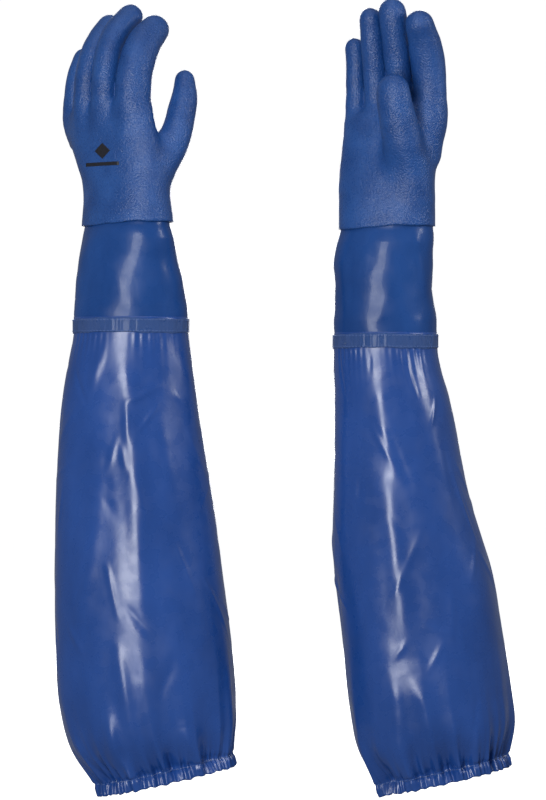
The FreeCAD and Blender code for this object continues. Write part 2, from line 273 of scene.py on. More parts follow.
def frames_of(roll, tilt):
    """The across and depth directions of sections, for arrays of angles in degrees."""
    r, t = np.radians(roll), np.radians(tilt)
    axis = np.stack([-np.sin(t), np.zeros_like(t), np.cos(t)], -1)
    across = np.stack([np.cos(r) * np.cos(t), -np.sin(r), np.cos(r) * np.sin(t)], -1)
    across = unit(across - axis * (axis * across).sum(-1, keepdims=True))
    return axis, across, np.cross(axis, across)


def noise(p, seed):
    """Smooth gradient noise from about -1 to 1 at points p, in cells of size 1."""
    rng = np.random.default_rng(seed)
    gradients = unit(rng.normal(size=(256, 3)))
    order = rng.permutation(256)
    cell = np.floor(p).astype(int)
    f = p - cell
    w = f * f * f * (f * (f * 6 - 15) + 10)
    total = np.zeros(p.shape[:-1])
    for corner in np.ndindex(2, 2, 2):
        c = cell + corner
        g = gradients[order[(order[(order[c[..., 0] & 255] + c[..., 1]) & 255] + c[..., 2]) & 255]]
        near = ((f - corner) * g).sum(-1)
        total += near * np.prod(np.where(corner, w, 1 - w), axis=-1)
    return total * 1.6


def bell(x):
    return np.exp(-x * x)


# --- meshes ----------------------------------------------------------------------------------------------

def make_object(name, points, faces, uvs=None):
    """A mesh object from points in millimetres. uvs are per point."""
    mesh = bpy.data.meshes.new(name)
    mesh.from_pydata((np.asarray(points) * MM).tolist(), [], [tuple(f) for f in faces])
    mesh.validate()
    if uvs is not None:
        layer = mesh.uv_layers.new(name="UVMap")
        corner = np.zeros(len(mesh.loops), int)
        mesh.loops.foreach_get("vertex_index", corner)
        layer.data.foreach_set("uv", np.asarray(uvs)[corner].astype(np.float32).ravel())
    obj = bpy.data.objects.new(name, mesh)
    bpy.context.scene.collection.objects.link(obj)
    for polygon in mesh.polygons:
        polygon.use_smooth = True
    return obj


def grid_normals(grid):
    around = np.roll(grid, -1, axis=1) - np.roll(grid, 1, axis=1)
    along = np.gradient(grid, axis=0)
    return unit(np.cross(around, along))


def shell(name, grid, thick, shift, tip=False, uv=None):
    """A closed wall on the inner side of a tube's grid of (rows, columns) points.

    With a tip, the last row closes to a point.
    """
    rows, cols = grid.shape[:2]
    normals = grid_normals(grid)
    centre = grid.mean(axis=1, keepdims=True)
    flip = ((grid - centre) * normals).sum() < 0
    if flip:
        normals = -normals
    inner = grid - normals * thick
    points = [grid.reshape(-1, 3), inner.reshape(-1, 3)]
    index = np.arange(rows * cols).reshape(rows, cols)
    nxt = np.roll(index, -1, axis=1)
    outer_quads = np.stack([index[:-1], nxt[:-1], nxt[1:], index[1:]], -1).reshape(-1, 4)
    inner_quads = outer_quads[:, ::-1] + rows * cols
    faces = [outer_quads, inner_quads]
    n = rows * cols
    faces.append(np.stack([nxt[0], index[0], index[0] + n, nxt[0] + n], -1))
    triangles = []
    if tip:
        along = unit(centre[-1, 0] - centre[-3, 0])
        top = grid[-1].mean(axis=0) + along * 0.25
        points += [top[None], (inner[-1].mean(axis=0) + along * 0.2)[None]]
        triangles = [(index[-1, c], nxt[-1, c], 2 * n) for c in range(cols)]
        triangles += [(nxt[-1, c] + n, index[-1, c] + n, 2 * n + 1) for c in range(cols)]
    else:
        faces.append(np.stack([index[-1], nxt[-1], nxt[-1] + n, index[-1] + n], -1))
    all_faces = [tuple(q) for q in np.concatenate(faces).tolist()] + triangles
    if flip:
        all_faces = [tuple(reversed(q)) for q in all_faces]
    uvs = None
    if uv is not None:
        uvs = np.concatenate([uv.reshape(-1, 2)] * 2 + ([uv[-1, :2]] if tip else []))
    points = np.concatenate(points) + np.array(shift)
    return make_object(name, points, all_faces, uvs)


def tube_grid(rows, angles, power=2.0):
    """Points on a stack of section rows, as (rows, columns, 3)."""
    _, across, depth = frames_of(rows[:, 5], rows[:, 6])
    c, s = np.cos(angles), np.sin(angles)
    c = np.sign(c) * np.abs(c) ** (2 / power)
    s = np.sign(s) * np.abs(s) ** (2 / power)
    return (rows[:, None, :3] + across[:, None] * (rows[:, 3, None] * c)[..., None]
            + depth[:, None] * (rows[:, 4, None] * s)[..., None])


def tube_uv(grid):
    """Coordinates in metres: around the tube at its widest, and along it."""
    rows, cols = grid.shape[:2]
    girth = np.linalg.norm(np.roll(grid, -1, axis=1) - grid, axis=2).sum(axis=1).max()
    u = np.broadcast_to(np.linspace(0, girth, cols, endpoint=False) * MM, (rows, cols))
    steps = np.linalg.norm(np.diff(grid.mean(axis=1), axis=0), axis=1)
    v = np.concatenate([[0], np.cumsum(steps)]) * MM
    return np.stack([u, np.broadcast_to(v[:, None], (rows, cols))], -1)


# --- hands -----------------------------------------------------------------------------------------------

def finger_rows(glove, name):
    """A finger's stations as (x, y, z, half width), and its depth ratio."""
    if name == "thumb":
        return np.array(glove["thumb"]["stations"], float), glove["thumb"]["depth"], glove["thumb"]["bends"]
    finger = glove["fingers"][name]
    _, across, depth = frames_of(np.array(glove["hand_roll"]), np.array(0.0))
    rows = []
    for z, c, r in finger["stations"]:
        p = across * finger["s"] + depth * c
        rows.append((glove["hand_centre"][0] + p[0], glove["hand_centre"][1] + p[1], z, r))
    return np.array(rows), finger["depth"], finger["bends"]


def finger_frames(glove, name, rows):
    """The axis, across and depth directions at each row of a resampled finger."""
    axis = unit(np.gradient(rows[:, :3], axis=0))
    lateral = frames_of(np.array(glove["hand_roll"]), np.array(0.0))[1]
    across = unit(lateral - axis * (axis @ lateral)[:, None])
    return axis, across, np.cross(axis, across)


def knuckle(glove, name):
    """Where a finger bends: the place on its centreline and the direction along it there."""
    rows, _, bends = finger_rows(glove, name)
    axis = finger_frames(glove, name, rows)[0]
    return rows[bends, :3], axis[bends]


def finger_distance(glove, name, p):
    """The distance of points p to a finger's surface, without its rounded end."""
    rows, ratio, _ = finger_rows(glove, name)
    rows = resample(rows, np.linspace(0, 1, 14))
    axis, across, depth = finger_frames(glove, name, rows)
    best = np.full(p.shape[0], 1e3)
    for a, b, d in zip(rows[:-1], rows[1:], depth[:-1]):
        run = b[:3] - a[:3]
        t = np.clip((p - a[:3]) @ run / (run @ run), 0, 1)
        q = p - a[:3] - t[:, None] * run
        deep = q @ d
        far = np.sqrt(np.maximum((q * q).sum(-1) - deep ** 2, 0) + (deep / ratio) ** 2)
        best = np.minimum(best, far - (a[3] + (b[3] - a[3]) * t))
    return best


def palm_distance(glove, p):
    rows = resample(glove["palm"], np.linspace(0, 1, 60))
    z = np.clip(p[:, 2], rows[0, 2], rows[-1, 2])
    at = np.stack([np.interp(z, rows[:, 2], rows[:, k]) for k in range(7)], -1)
    _, across, depth = frames_of(at[:, 5], at[:, 6])
    q = p - at[:, :3]
    u, v = (q * across).sum(-1), (q * depth).sum(-1)
    a, b = at[:, 3], at[:, 4]
    power = 2.25
    rho = (np.abs(u / a) ** power + np.abs(v / b) ** power) ** (1 / power) + 1e-9
    slope = np.sqrt((u / a ** 2) ** 2 + (v / b ** 2) ** 2) / np.sqrt((u / a) ** 2 + (v / b) ** 2 + 1e-9)
    side = (rho - 1) / np.maximum(slope, 1e-3)
    over = p[:, 2] - rows[-1, 2] + 0.3 * np.maximum(-u - 15, 0)
    return smooth_max(side, over, 9.0)


def smooth_min(a, b, k):
    h = np.clip(0.5 + 0.5 * (b - a) / k, 0, 1)
    return b + (a - b) * h - k * h * (1 - h)


def smooth_max(a, b, k):
    return -smooth_min(-a, -b, k)


def hand_field(glove, p):
    """The distance of points p to the coat's outer surface, up to the seams with the finger pieces."""
    d = palm_distance(glove, p)
    fingers = []
    for name in FINGERS:
        f = finger_distance(glove, name, p)
        place, axis = knuckle(glove, name)
        fingers.append(smooth_max(f, (p - place) @ axis + STUB_BELOW, 1.0))
    thumb, *others = fingers
    joined = others[0]
    for f in others[1:]:
        joined = smooth_min(joined, f, 1.5)
    d = smooth_min(d, joined, 7.0)
    d = smooth_min(d, thumb, 11.0)
    return d + surface_wave(glove, p)


def surface_wave(glove, p):
    """How far the coat's surface is dented at points p. Its lower edge stays true."""
    fade = np.clip((p[..., 2] - glove["coat_edge"] - 8) / 20.0, 0, 1)
    return (noise(p / 34.0, 5) * 0.9 + noise(p / 15.0, 6) * 0.35) * fade


def surface_net(field, origin, size):
    """Points and quads of the surface where a sampled field crosses zero. It is open where the field ends."""
    inside = field < 0
    nx, ny, nz = field.shape
    corners = [np.array(c) for c in np.ndindex(2, 2, 2)]
    count = sum(inside[i:nx - 1 + i, j:ny - 1 + j, k:nz - 1 + k].astype(np.int8) for i, j, k in corners)
    cells = np.argwhere((count > 0) & (count < 8))
    number = np.full((nx - 1, ny - 1, nz - 1), -1)
    number[tuple(cells.T)] = np.arange(len(cells))
    total, crossings = np.zeros((len(cells), 3)), np.zeros(len(cells))
    for corner in corners:
        for axis in range(3):
            if corner[axis]:
                continue
            step = np.eye(3, dtype=int)[axis]
            a = field[tuple((cells + corner).T)]
            b = field[tuple((cells + corner + step).T)]
            hit = (a < 0) != (b < 0)
            t = np.where(hit, a / np.where(hit, a - b, 1), 0)
            total += np.where(hit[:, None], corner + step * t[:, None], 0)
            crossings += hit
    points = origin + (cells + total / crossings[:, None]) * size
    quads = []
    for axis in range(3):
        u, v = np.eye(3, dtype=int)[(axis + 1) % 3], np.eye(3, dtype=int)[(axis + 2) % 3]
        low = tuple(slice(0, -1) if k == axis else slice(None) for k in range(3))
        high = tuple(slice(1, None) if k == axis else slice(None) for k in range(3))
        edges = np.argwhere(inside[low] != inside[high])
        for w in ((axis + 1) % 3, (axis + 2) % 3):
            edges = edges[(edges[:, w] > 0) & (edges[:, w] < field.shape[w] - 1)]
        outward = inside[low][tuple(edges.T)]
        ring = np.stack([number[tuple((edges - o).T)] for o in (u + v, v, 0 * u, u)], -1)
        quads.append(np.where(outward[:, None], ring, ring[:, ::-1]))
    used, quads = np.unique(np.concatenate(quads), return_inverse=True)
    return points[used], quads.reshape(-1, 4)


def net_edges(quads):
    """A net's directed edges that only one quad uses, and all its edges once."""
    directed = np.concatenate([quads[:, [k, (k + 1) % 4]] for k in range(4)])
    both, first, uses = np.unique(np.sort(directed, axis=1), axis=0, return_index=True, return_counts=True)
    return directed[first[uses == 1]], both


def relax(points, quads):
    """Evens a net out without shrinking it. Its open edge stays where it is."""
    border, edges = net_edges(quads)
    degree = np.maximum(np.bincount(edges.ravel(), minlength=len(points)), 1)[:, None]
    still = np.zeros((len(points), 1), bool)
    still[border.ravel()] = True
    for share in (0.5, -0.53) * 4:
        total = np.zeros_like(points)
        np.add.at(total, edges[:, 0], points[edges[:, 1]])
        np.add.at(total, edges[:, 1], points[edges[:, 0]])
        points = np.where(still, points, points + (total / degree - points) * share)
    return points


def net_normals(points, quads):
    a, b, c, d = (points[quads[:, k]] for k in range(4))
    across = np.cross(c - a, d - b)
    normals = np.zeros_like(points)
    for k in range(4):
        np.add.at(normals, quads[:, k], across)
    return unit(normals)


def sample_hand(glove):
    """The hand's distances on a grid above the coat's lower edge, and the grid's first point."""
    palm = np.array(glove["palm"])
    first = np.array([palm[:, 0].min() - 56.0, -60.0, glove["coat_edge"]])
    last = np.array([palm[:, 0].max() + 66.0, 60.0, 632.0])
    shape = np.ceil((last - first) / VOXEL).astype(int)
    axes = [first[k] + np.arange(shape[k]) * VOXEL for k in range(3)]
    p = np.stack(np.meshgrid(*axes, indexing="ij"), -1).reshape(-1, 3)
    return hand_field(glove, p).reshape(shape), first


def net_shell(name, glove, sampled, rise, inset, thick):
    """A closed wall on the inner side of the hand's surface, open rise grid steps above the coat's edge."""
    field, first = sampled
    low = first[2] + rise * VOXEL
    points, quads = surface_net(field[..., rise:] + inset, np.array([first[0], first[1], low]), VOXEL)
    border = net_edges(quads)[0]
    points[border.ravel(), 2] = low
    points = relax(points, quads)
    normals = net_normals(points, quads)
    points[:, 2] += coat_edge_rise(glove, points)
    n = len(points)
    rim = np.stack([border[:, 1], border[:, 0], border[:, 0] + n, border[:, 1] + n], -1)
    faces = np.concatenate([quads, quads[:, ::-1] + n, rim])
    piece = make_object(name, np.concatenate([points, points - normals * thick]) + glove["shift"], faces)
    return piece, points, quads


def coat_edge_rise(glove, points):
    """How far the coat's lower edge wanders up and down, fading out above it."""
    x = points[:, 0] - glove["palm"][0][0]
    fade = np.clip(1 - (points[:, 2] - glove["coat_edge"]) / 14.0, 0, 1)
    return fade * (0.035 * x + 0.7 * np.sin(x / 11.0 + 1.0) + 0.3 * np.sin(x / 4.3))


def finger_grid(glove, name, grow):
    """A finger's surface from its seam to its rounded tip."""
    rows, ratio, bends = finger_rows(glove, name)
    rows = resample(rows, np.linspace(0, 1, 161))
    place, axis = knuckle(glove, name)
    start = np.argmax((rows[:, :3] - place) @ axis > -SEAM_BELOW)
    axis, across, depth = finger_frames(glove, name, rows)
    keep = np.linspace(start, len(rows) - 1, (len(rows) - start) // 2).astype(int)
    rows, axis, across, depth = (v[keep] for v in (rows, axis, across, depth))
    angles = np.linspace(0, TAU, FINGER_COLUMNS, endpoint=False)
    c, s = np.cos(angles)[:, None], np.sin(angles)[:, None]

    sunk = np.clip(1 - np.arange(len(rows)) / 8, 0, 1) ** 1.5 * 0.7

    def ring(k, reach, share):
        wide = (rows[k, 3] + grow - sunk[k]) * share
        return rows[k, :3] + axis[k] * reach + across[k] * c * wide + depth[k] * s * wide * ratio

    grid = [ring(k, 0.0, 1.0) for k in range(len(rows))]
    for degrees in (8, 17, 26, 35, 44, 53, 62, 70, 77, 83, 87):
        a = math.radians(degrees)
        grid.append(ring(-1, (rows[-1, 3] + grow) * math.sin(a) ** 1.05, math.cos(a) ** 0.94))
    grid = np.array(grid)
    for _ in range(5):
        bent = grid[2:] - 2 * grid[1:-1] + grid[:-2]
        grid[len(rows) - 5:-1] += 0.2 * bent[len(rows) - 6:]
    normals = grid_normals(grid)
    normals *= np.sign(((grid - grid.mean(axis=1, keepdims=True)) * normals).sum())
    return grid - normals * surface_wave(glove, grid)[..., None]


def blend_span(glove, name):
    """The ends of a finger's blend span, in metres: TURN_BELOW below its knuckle and 11 mm above it, along
    its axis there.
    """
    place, axis = knuckle(glove, name)
    place = place + glove["shift"]
    return [tuple((place + axis * reach) * MM) for reach in (-TURN_BELOW, 11.0)]


def make_mark(glove, name, points, quads):
    """A plain printed lozenge over a bar, laid on the back of the hand."""
    tree = BVHTree.FromPolygons((points * MM).tolist(), quads.tolist())
    back = -glove["palm_side"]
    cx, cz = glove["mark"]
    spots, faces = [], []
    shapes = (
        lambda s, t: (cx + 7.0 * (s - t), cz + 7.0 * (s + t - 1)),
        lambda s, t: (cx + 30.0 * (s - 0.5), cz - 11.5 + 3.2 * (t - 0.5)),
    )
    for place in shapes:
        n = 15
        base = len(spots)
        for level in (0.16, -0.06):
            for i in range(n):
                for j in range(n):
                    x, z = place(i / (n - 1), j / (n - 1))
                    hit, normal, _, _ = tree.ray_cast(Vector((x, 90.0 * back, z)) * MM, Vector((0, -back, 0)))
                    spots.append(np.array(hit) / MM + np.array(normal) * level)
        grid = base + np.arange(n * n).reshape(n, n)
        top = np.stack([grid[:-1, :-1], grid[1:, :-1], grid[1:, 1:], grid[:-1, 1:]], -1).reshape(-1, 4)
        edge = np.concatenate([grid[:-1, 0], grid[-1, :-1], grid[:0:-1, -1], grid[0, :0:-1]])
        after = np.roll(edge, -1)
        faces += [top, top[:, ::-1] + n * n, np.stack([after, edge, edge + n * n, after + n * n], -1)]
    faces = np.concatenate(faces)
    if back > 0:
        faces = faces[:, ::-1]
    return make_object(name, np.array(spots) + glove["shift"], faces)


# --- sleeves ---------------------------------------------------------------------------------------------

def fold(x, z, line):
    """A soft ridge along a line in the front view, fading at both ends."""
    x0, z0, x1, z1, wide, height = line
    run = np.array([x1 - x0, z1 - z0])
    t = ((x - x0) * run[0] + (z - z0) * run[1]) / (run @ run)
    near = np.clip(t, 0, 1)
    away = np.hypot(x - x0 - near * run[0], z - z0 - near * run[1])
    return height * bell(away / wide) * np.sin(np.pi * np.clip(0.08 + 0.84 * near, 0, 1))


def gathers(angle, height, seed):
    """The puckers that the elastic pulls into the film, by height above the hem's lower edge."""
    rng = np.random.default_rng(seed)
    total = -1.4 * bell((height - 10.5) / 2.2)
    for count, size, fade in PUCKERS:
        swing = rng.uniform(0, TAU, 3)
        warped = angle + 0.16 * np.sin(2 * angle + swing[0]) + 0.07 * np.sin(5 * angle + swing[1])
        wave = 0.8 - 1.9 * np.abs(np.sin(count * warped / 2 + swing[2])) ** 1.2
        strength = np.exp(-np.maximum(height - HEM_HEIGHT, 0) / fade)
        rise = 1.0 if count > 30 else 0.35 + 0.65 * np.clip(height / HEM_HEIGHT, 0, 1)
        total = total + size * wave * strength * rise
    return total


def crumple(grid, seed):
    """The film's broad dents and its small unevenness."""
    long = grid * np.array([1.0, 1.0, 0.38])
    return noise(long / 52.0 + seed, seed) * 2.4 + noise(grid / 14.0, seed + 3) * 0.12


def creases(angle, height, seed):
    """Short straight creases scattered round a sleeve, most of them running along it."""
    rng = np.random.default_rng(seed)
    around = angle * SLEEVE_RADIUS
    total = np.zeros_like(height)
    for _ in range(CREASES):
        u, z = rng.uniform(0, TAU * SLEEVE_RADIUS), rng.uniform(40, 370)
        lean, half = rng.normal(0, 0.55), rng.uniform(9, 34)
        run = (half * math.sin(lean), half * math.cos(lean))
        wide, deep = rng.uniform(1.8, 4.5), rng.choice((-1, 1)) * rng.uniform(0.3, 0.9)
        total += fold(around, height, (u - run[0], z - run[1], u + run[0], z + run[1], wide, deep))
    return total


def straight_rows(glove, heights):
    """Sections of the straight stretch under the band, at heights down from the band's top."""
    top = glove["sleeve"][0]
    return np.array([(top[0], top[1], glove["band_top"] - h, *top[3:]) for h in heights])


def hem_rows(glove, heights):
    """Sections of the hem, at heights along its own tilted axis."""
    axis = frames_of(np.array(0.0), np.array(HEM_TILT))[0]
    return np.array([(*(axis * h), *glove["hem"], 0.0, HEM_TILT) for h in heights])


def outward(grid):
    """Unit directions out of a tube, in the plane of each of its rings."""
    normals = grid_normals(grid)
    return normals * np.sign(((grid - grid.mean(axis=1, keepdims=True)) * normals).sum())


def sleeve_grid(glove):
    """The film from the upper edge of its turned-in hem, round the fold and up to the seam band."""
    heights = list(HEM_TURN_HEIGHTS)
    offsets = list(HEM_TURN_OFFSETS)
    body = np.array(glove["sleeve"] + [tuple(hem_rows(glove, [HEM_HEIGHT])[0])])[::-1]
    t = np.concatenate([np.linspace(0, 0.16, 60, endpoint=False), np.linspace(0.16, 1, 170)])
    rows = np.concatenate([hem_rows(glove, heights), resample(body, t)])
    offset = np.concatenate([offsets, np.full(len(t), 0.7)])
    angles = np.linspace(0, TAU, SLEEVE_COLUMNS, endpoint=False)
    base = tube_grid(rows, angles)
    hem_part = tube_grid(hem_rows(glove, [0.0, HEM_HEIGHT]), angles)
    out = outward(base)
    out[:len(heights)] = outward(hem_part)[0]
    above = base[..., 2] - base[..., 0] * math.tan(math.radians(HEM_TILT))
    above = np.maximum(above, np.array(heights + [HEM_HEIGHT] * len(t))[:, None] * (above < 20))
    top = glove["band_top"]
    to_band = np.clip((top - 14 - base[..., 2]) / 34.0, 0, 1)
    to_hem = np.clip((above - HEM_HEIGHT) / 55.0, 0, 1)
    front = np.clip(0.25 - out[..., 1] * 1.5, 0, 1)
    turned = np.broadcast_to(angles, above.shape)
    dents = crumple(base, glove["seed"]) + creases(turned, base[..., 2], glove["seed"] + 5)
    disp = dents * (to_band * (0.25 + 0.75 * to_hem)) ** 0.8
    for line in glove["folds"]:
        disp += fold(base[..., 0], base[..., 2], line) * front * to_band
    for line in glove["back_folds"]:
        disp += fold(base[..., 0], base[..., 2], line) * (1 - front) * to_band
    puckers = np.exp(-np.maximum(top - 12.5 - base[..., 2], 0) / 13.0) * (base[..., 2] < top - 12.5)
    tucks = np.sin(47 * angles + 2 * np.sin(3 * angles)) * (0.5 + 0.5 * np.sin(5 * angles + 1))
    disp += puckers * 0.5 * tucks
    disp += gathers(angles[None], above, glove["seed"] + HEM_PUCKERS)
    lift = offset[:, None] + disp
    grid = base + out * lift[..., None]
    scallop = np.sin(38 * angles + 2 * np.sin(3 * angles)) + 0.6 * np.sin(17 * angles + 1)
    grid[..., 2] += 0.55 * scallop * np.clip(1 - above / 10.0, 0, 1)
    return grid


def hem_ring(glove, heights, offset):
    """A ring in or on the puckered hem."""
    angles = np.linspace(0, TAU, SLEEVE_COLUMNS, endpoint=False)
    base = tube_grid(hem_rows(glove, heights), angles)
    wave = gathers(angles[None], np.array(heights)[:, None], glove["seed"] + HEM_PUCKERS)
    return base + outward(base) * (offset + wave)[..., None]


def cuff_grid(glove, grow):
    rows = np.array(glove["cuff"])[::-1]
    rows = resample(rows, np.linspace(0, 1, 96))
    angles = np.linspace(0, TAU, CUFF_COLUMNS, endpoint=False)
    base = tube_grid(rows, angles)
    out = outward(base)
    z = base[..., 2]
    free = np.clip((z - glove["band_top"] + 2) / 14.0, 0, 1)
    free *= np.clip((glove["coat_edge"] - 2 - z) / 12.0, 0, 1)
    dents = noise(base / np.array([34.0, 34.0, 26.0]), glove["seed"] + 21) * 1.5
    dents += noise(base / 13.0, glove["seed"] + 22) * 0.22
    dents += 1.1 * np.clip((glove["coat_edge"] - 1.5 - z) / 3.0, 0, 1)
    for line in glove["cuff_folds"]:
        dents += fold(base[..., 0], z, line) * np.clip(0.25 - out[..., 1] * 1.5, 0, 1)
    return base + out * (grow + free * dents)[..., None]


def band_grid(glove):
    heights = [12.5, 12.1, 11.0, 9.0, 7.0, 5.0, 3.0, 1.4, 0.4, 0.0]
    lifts = [1.0, 1.25, 1.38, 1.42, 1.42, 1.42, 1.42, 1.38, 1.25, 1.0]
    angles = np.linspace(0, TAU, BAND_COLUMNS, endpoint=False) + TAU / 4
    base = tube_grid(straight_rows(glove, heights), angles)
    tucks = 0.16 * np.sin(31 * angles + 3 * np.sin(4 * angles)) + 0.1 * np.sin(83 * angles)
    grid = base + outward(base) * (np.array(lifts)[:, None] + 0.12 + tucks[None])[..., None]
    grid[..., 2] += 0.5 * np.sin(3 * angles + 1) + 0.3 * np.sin(11 * angles)
    return grid


def make_stitches(name, ring, glove, pitch, long, thick, seed):
    """A row of separate stitches along a closed ring of points."""
    rng = np.random.default_rng(seed)
    steps = np.linalg.norm(np.roll(ring, -1, axis=0) - ring, axis=1)
    s = np.concatenate([[0], np.cumsum(steps)])
    looped = np.concatenate([ring, ring[:1]])
    centre = ring.mean(axis=0)
    count = int(s[-1] / pitch)
    points, faces = [], []
    sides = 8
    profile = ((-0.5, 0.25), (-0.44, 0.75), (-0.3, 1.0), (0.3, 1.0), (0.44, 0.75), (0.5, 0.25))
    for n in range(count):
        at = s[-1] * n / count
        a, b = (np.array([np.interp((at + d) % s[-1], s, line) for line in looped.T]) for d in (-1.0, 1.0))
        place, along = (a + b) / 2, unit(b - a)
        out = unit(place - centre - along * ((place - centre) @ along))
        up = np.cross(along, out)
        along = unit(along + up * rng.normal(0, 0.07))
        size = long * rng.uniform(0.92, 1.06)
        base = sum(len(p) for p in points)
        for reach, share in profile:
            bend = out * (0.35 * (1 - (2 * reach) ** 2) * thick)
            for k in range(sides):
                w = TAU * k / sides
                radial = (out * math.cos(w) + up * math.sin(w)) * thick * share
                points.append([place + along * reach * size + bend + radial])
        for r in range(len(profile) - 1):
            for k in range(sides):
                a0, b0 = base + r * sides + k, base + r * sides + (k + 1) % sides
                faces.append((a0, a0 + sides, b0 + sides, b0))
        faces.append(tuple(base + k for k in range(sides)))
        faces.append(tuple(base + (len(profile) - 1) * sides + k for k in reversed(range(sides))))
    return make_object(name, np.concatenate(points) + glove["shift"], faces)


# --- materials -------------------------------------------------------------------------------------------

def new_material(name):
    mat = bpy.data.materials.new(name)
    mat.use_nodes = True
    return mat, mat.node_tree, mat.node_tree.nodes["Principled BSDF"]


def add(tree, kind, inputs=None, **settings):
    """A node with its settings and inputs. An input is a value or another node's output socket."""
    node = tree.nodes.new(kind)
    for key, value in settings.items():
        setattr(node, key, value)
    for key, value in (inputs or {}).items():
        if isinstance(value, bpy.types.NodeSocket):
            tree.links.new(value, node.inputs[key])
        else:
            node.inputs[key].default_value = value
    return node


def place_of(tree, source="Object"):
    return add(tree, "ShaderNodeTexCoord").outputs[source]


def stretched(tree, scale, source="Object"):
    inputs = {"Vector": place_of(tree, source), "Scale": scale}
    return add(tree, "ShaderNodeMapping", inputs).outputs["Vector"]


def noise_of(tree, vector, scale, detail=2.0, rough=0.5, twist=0.0):
    inputs = {"Vector": vector, "Scale": scale, "Detail": detail, "Roughness": rough, "Distortion": twist}
    return add(tree, "ShaderNodeTexNoise", inputs).outputs["Fac"]


def ramp(tree, fac, low, high, to_low=0.0, to_high=1.0):
    inputs = {"Value": fac, "From Min": low, "From Max": high, "To Min": to_low, "To Max": to_high}
    return add(tree, "ShaderNodeMapRange", inputs).outputs["Result"]


def mix_colour(tree, fac, a, b):
    node = add(tree, "ShaderNodeMix", data_type="RGBA")
    tree.links.new(fac, node.inputs["Factor"])
    node.inputs["A"].default_value = (*a, 1)
    node.inputs["B"].default_value = (*b, 1)
    return node.outputs["Result"]


def math_of(tree, operation, a, b=0.0):
    return add(tree, "ShaderNodeMath", {0: a, 1: b}, operation=operation).outputs[0]


def bump(tree, height, distance, strength=1.0, under=None):
    inputs = {"Height": height, "Distance": distance, "Strength": strength}
    if under is not None:
        inputs["Normal"] = under
    return add(tree, "ShaderNodeBump", inputs).outputs["Normal"]


def coat_material():
    """Rough-dipped PVC: a matt blue with fine sandy grains that catch the light."""
    mat, tree, shader = new_material("rough_blue_pvc")
    p = place_of(tree)
    grain = noise_of(tree, p, 620.0, 3.0, 0.65)
    sand = add(tree, "ShaderNodeTexVoronoi", {"Vector": p, "Scale": 560.0, "Randomness": 1.0})
    grit = ramp(tree, sand.outputs["Distance"], 0.0, 0.75, 1.0, 0.0)
    patches = noise_of(tree, p, 45.0, 3.0)
    fine = math_of(tree, "MULTIPLY", grain, 0.45)
    tone = math_of(tree, "ADD", fine, math_of(tree, "MULTIPLY", patches, 0.55))
    colour = mix_colour(tree, ramp(tree, tone, 0.36, 0.64), (0.007, 0.05, 0.21), (0.019, 0.087, 0.31))
    tree.links.new(colour, shader.inputs["Base Color"])
    tree.links.new(ramp(tree, grain, 0.3, 0.7, 0.24, 0.4), shader.inputs["Roughness"])
    height = math_of(tree, "ADD", math_of(tree, "MULTIPLY", grit, 0.4), grain)
    tree.links.new(bump(tree, height, 0.0007, 0.9), shader.inputs["Normal"])
    shader.inputs["Specular IOR Level"].default_value = 0.5
    return mat


def film_material(name, dark, light, rough, dents, shine, gloss, gloss_rough):
    """Smooth PVC with a wet shine. dents is the depth of its small surface waves, shine its specular level
    and gloss the weight of its clear coat."""
    mat, tree, shader = new_material(name)
    p = place_of(tree)
    long = stretched(tree, (1.0, 1.0, 0.45))
    tone = noise_of(tree, long, 26.0, 4.0, 0.55)
    colour = mix_colour(tree, ramp(tree, tone, 0.34, 0.66), dark, light)
    tree.links.new(colour, shader.inputs["Base Color"])
    wear = noise_of(tree, p, 70.0, 3.0)
    tree.links.new(ramp(tree, wear, 0.35, 0.7, rough * 0.75, rough * 1.35), shader.inputs["Roughness"])
    waves = noise_of(tree, long, 60.0, 2.0, 0.5, 0.6)
    skin = noise_of(tree, p, 900.0, 2.0)
    under = bump(tree, waves, dents)
    tree.links.new(bump(tree, skin, 0.00005, 0.35, under), shader.inputs["Normal"])
    shader.inputs["Specular IOR Level"].default_value = shine
    shader.inputs["Coat Weight"].default_value = gloss
    shader.inputs["Coat Roughness"].default_value = gloss_rough
    return mat


def tape_material():
    """The embossed tape: a fine diamond mesh in glossy PVC."""
    mat, tree, shader = new_material("embossed_tape")
    uv = add(tree, "ShaderNodeSeparateXYZ", {"Vector": place_of(tree, "UV")})
    pitch = 2900.0
    left = math_of(tree, "ADD", uv.outputs["X"], uv.outputs["Y"])
    right = math_of(tree, "SUBTRACT", uv.outputs["X"], uv.outputs["Y"])
    lines = [math_of(tree, "ABSOLUTE", math_of(tree, "SINE", math_of(tree, "MULTIPLY", v, pitch)))
             for v in (left, right)]
    mesh = math_of(tree, "MINIMUM", *lines)
    colour = mix_colour(tree, ramp(tree, mesh, 0.0, 0.8), (0.06, 0.14, 0.38), (0.014, 0.055, 0.22))
    tree.links.new(colour, shader.inputs["Base Color"])
    tree.links.new(bump(tree, mesh, 0.0004, 0.9), shader.inputs["Normal"])
    patches = noise_of(tree, place_of(tree), 120.0, 2.0)
    tree.links.new(ramp(tree, patches, 0.3, 0.7, 0.25, 0.42), shader.inputs["Roughness"])
    shader.inputs["Coat Weight"].default_value = 0.2
    return mat


